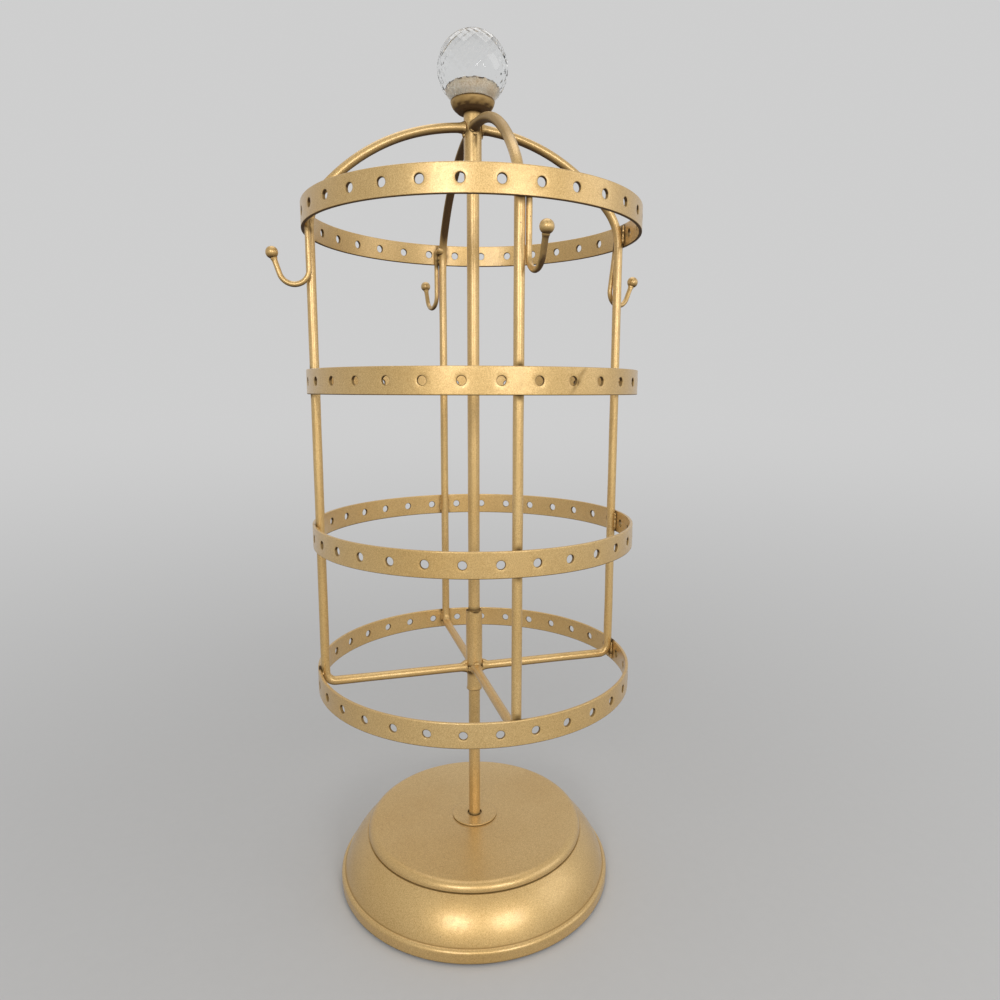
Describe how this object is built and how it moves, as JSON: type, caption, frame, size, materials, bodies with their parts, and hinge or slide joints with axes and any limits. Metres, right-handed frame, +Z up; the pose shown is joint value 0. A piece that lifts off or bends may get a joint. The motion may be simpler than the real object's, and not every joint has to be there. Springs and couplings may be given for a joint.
{
  "type": "rotating jewelry tower",
  "caption": "Rotating earring and necklace tower: perforated rings on bent wires with hooks, turning on a rod over a weighted domed base, with a crystal finial.",
  "frame": {"origin": "middle of the underside of the base, on the table", "axes": "+Z up along the rod; the four wires of the cage stand on -Y (front), +X (right), +Y (back) and -X (left)"},
  "size_m": [0.188, 0.1913, 0.4216],
  "materials": {
    "gold_paint": "matte",
    "zinc_steel": "satin",
    "ballast_iron": "rough",
    "foam_pad": "matte",
    "crystal": "polished"
  },
  "bodies": {
    "base": {"base_pad": "foam_pad", "base_bottom_plate": "zinc_steel", "base_skirt": "gold_paint", "base_top_plate": "gold_paint", "base_weight": "ballast_iron", "centre_rod": "gold_paint", "rod_washer": "gold_paint", "nut_washer": "zinc_steel", "rod_nut": "zinc_steel"},
    "cage": {"lower_sleeve": "gold_paint", "upper_sleeve": "gold_paint", "upright_front": "gold_paint", "upright_right": "gold_paint", "upright_back": "gold_paint", "upright_left": "gold_paint", "ring_top": "gold_paint", "ring_upper": "gold_paint", "ring_lower": "gold_paint", "ring_bottom": "gold_paint", "hook_front": "gold_paint", "hook_right": "gold_paint", "hook_back": "gold_paint", "hook_left": "gold_paint", "hook_ball_front": "gold_paint", "hook_ball_right": "gold_paint", "hook_ball_back": "gold_paint", "hook_ball_left": "gold_paint", "finial_cup": "gold_paint", "sleeve_plug": "zinc_steel", "finial_stud": "zinc_steel", "finial_crystal": "crystal"}
  },
  "joints": [
    {"name": "cage_spin", "type": "hinge", "parent": "base", "child": "cage", "pos_m": [0, 0, 0.245], "axis": [0, 0, 1], "continuous": true}
  ]
}
